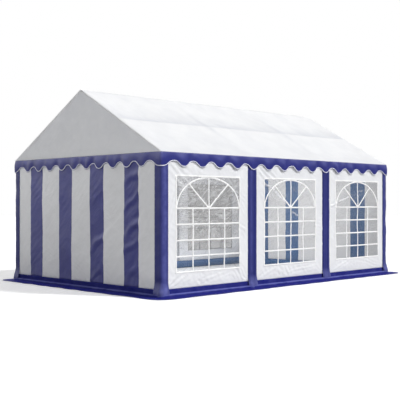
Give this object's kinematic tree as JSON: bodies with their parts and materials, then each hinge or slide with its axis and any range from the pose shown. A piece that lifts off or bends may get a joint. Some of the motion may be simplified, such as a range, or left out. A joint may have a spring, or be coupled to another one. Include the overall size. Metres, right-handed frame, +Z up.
{
  "type": "party tent",
  "caption": "Gabled party tent on a steel tube frame, with clear arched-bar windows in its long side walls, striped end walls, a wavy valance, leg covers and a ground skirt.",
  "frame": {"origin": "on the ground, at the middle of the tent's plan", "axes": "+X along the length to the end wall on the right of the window side seen from outside, +Y away from the window side in the picture, +Z up"},
  "size_m": [6.468, 4.368, 3.2299],
  "materials": {
    "white_cloth": "smooth coated cloth, slightly glossy",
    "blue_cloth": "smooth coated cloth, slightly glossy",
    "striped_cloth": "smooth coated cloth with upright white and blue stripes",
    "clear_film": "clear soft film, glossy",
    "galvanised_steel": "galvanised, satin"
  },
  "bodies": {
    "root": {"corner_cover_back_left": "blue_cloth", "corner_cover_back_right": "blue_cloth", "corner_cover_front_left": "blue_cloth", "corner_cover_front_right": "blue_cloth", "eaves_rail_back": "galvanised_steel", "eaves_rail_front": "galvanised_steel", "end_wall_left": "striped_cloth", "end_wall_right": "striped_cloth", "gable_left": "white_cloth", "gable_right": "white_cloth", "ground_rail_back": "galvanised_steel", "ground_rail_front": "galvanised_steel", "ground_rail_left": "galvanised_steel", "ground_rail_right": "galvanised_steel", "leg_back_1": "galvanised_steel", "leg_back_2": "galvanised_steel", "leg_back_3": "galvanised_steel", "leg_back_4": "galvanised_steel", "leg_front_1": "galvanised_steel", "leg_front_2": "galvanised_steel", "leg_front_3": "galvanised_steel", "leg_front_4": "galvanised_steel", "post_cover_back_1": "blue_cloth", "post_cover_back_2": "blue_cloth", "post_cover_front_1": "blue_cloth", "post_cover_front_2": "blue_cloth", "purlin_back": "galvanised_steel", "purlin_front": "galvanised_steel", "rafter_back_1": "galvanised_steel", "rafter_back_2": "galvanised_steel", "rafter_back_3": "galvanised_steel", "rafter_back_4": "galvanised_steel", "rafter_front_1": "galvanised_steel", "rafter_front_2": "galvanised_steel", "rafter_front_3": "galvanised_steel", "rafter_front_4": "galvanised_steel", "ridge_rail": "galvanised_steel", "roof_back": "white_cloth", "roof_front": "white_cloth", "skirt_back": "blue_cloth", "skirt_front": "blue_cloth", "skirt_left": "blue_cloth", "skirt_right": "blue_cloth", "valance_back": "blue_cloth", "valance_front": "blue_cloth", "valance_left": "blue_cloth", "valance_right": "blue_cloth", "wall_back_1": "white_cloth", "wall_back_2": "white_cloth", "wall_back_3": "white_cloth", "wall_front_1": "white_cloth", "wall_front_2": "white_cloth", "wall_front_3": "white_cloth", "window_back_1": "clear_film", "window_back_2": "clear_film", "window_back_3": "clear_film", "window_front_1": "clear_film", "window_front_2": "clear_film", "window_front_3": "clear_film"}
  },
  "joints": []
}
